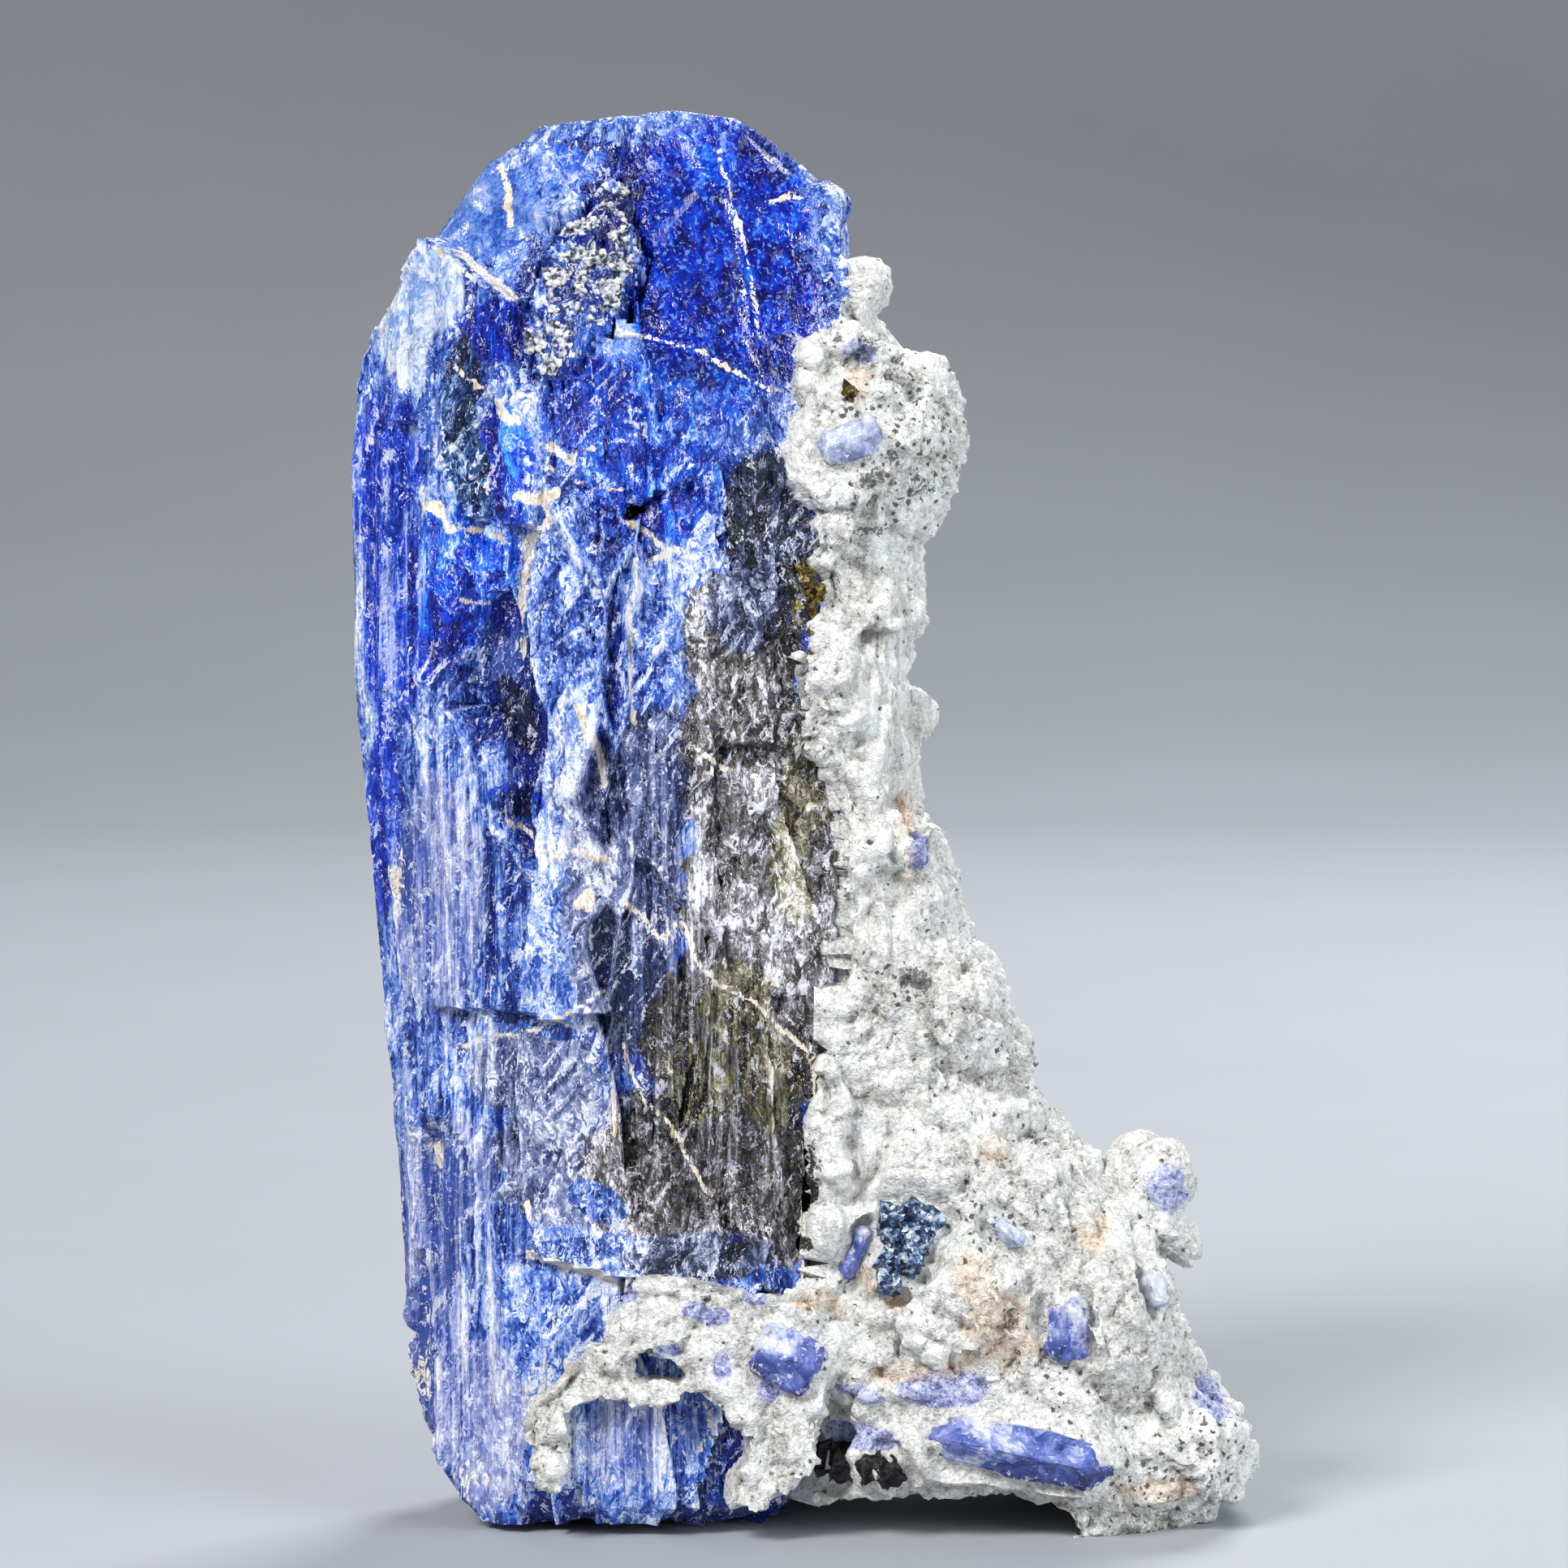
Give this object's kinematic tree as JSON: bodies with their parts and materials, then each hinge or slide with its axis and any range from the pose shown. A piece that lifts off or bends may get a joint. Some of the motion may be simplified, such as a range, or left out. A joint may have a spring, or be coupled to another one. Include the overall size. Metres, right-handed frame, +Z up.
{
  "type": "tanzanite with pyrite",
  "caption": "Tall prismatic tanzanite crystal with pale matrix along one side and foot, holding small tanzanites, pyrite grains and graphite.",
  "frame": {"origin": "centre of the bounding box in plan, on the surface that the specimen stands on", "axes": "+Z up along the crystal's length, +X towards the matrix foot, +Y to the back, away from the face in the picture"},
  "size_m": [0.0258, 0.0124, 0.04],
  "materials": {
    "tanzanite": "vitreous striated crystal, deep blue to violet, clear to smoky",
    "matrix": "matt granular pale grey-green rock with tiny dark flakes and rusty stains",
    "small_tanzanite": "vitreous blue-violet crystal",
    "pyrite": "dark tarnished brassy metallic grains",
    "graphite": "black submetallic flakes",
    "peppered_crust": "cream crust peppered with dark metallic grains"
  },
  "bodies": {
    "root": {"tanzanite_crystal": "tanzanite", "matrix": "matrix", "foot_tanzanite": "small_tanzanite", "hollow_tanzanite": "small_tanzanite", "left_tanzanite": "small_tanzanite", "upper_tanzanite": "small_tanzanite", "right_tanzanite": "small_tanzanite", "brow_tanzanite": "small_tanzanite", "sliver_tanzanite": "small_tanzanite", "pyrite_cluster": "pyrite", "pyrite_grain": "pyrite", "pyrite_seam": "pyrite", "graphite_mass": "graphite", "peppered_crust": "peppered_crust"}
  },
  "joints": []
}
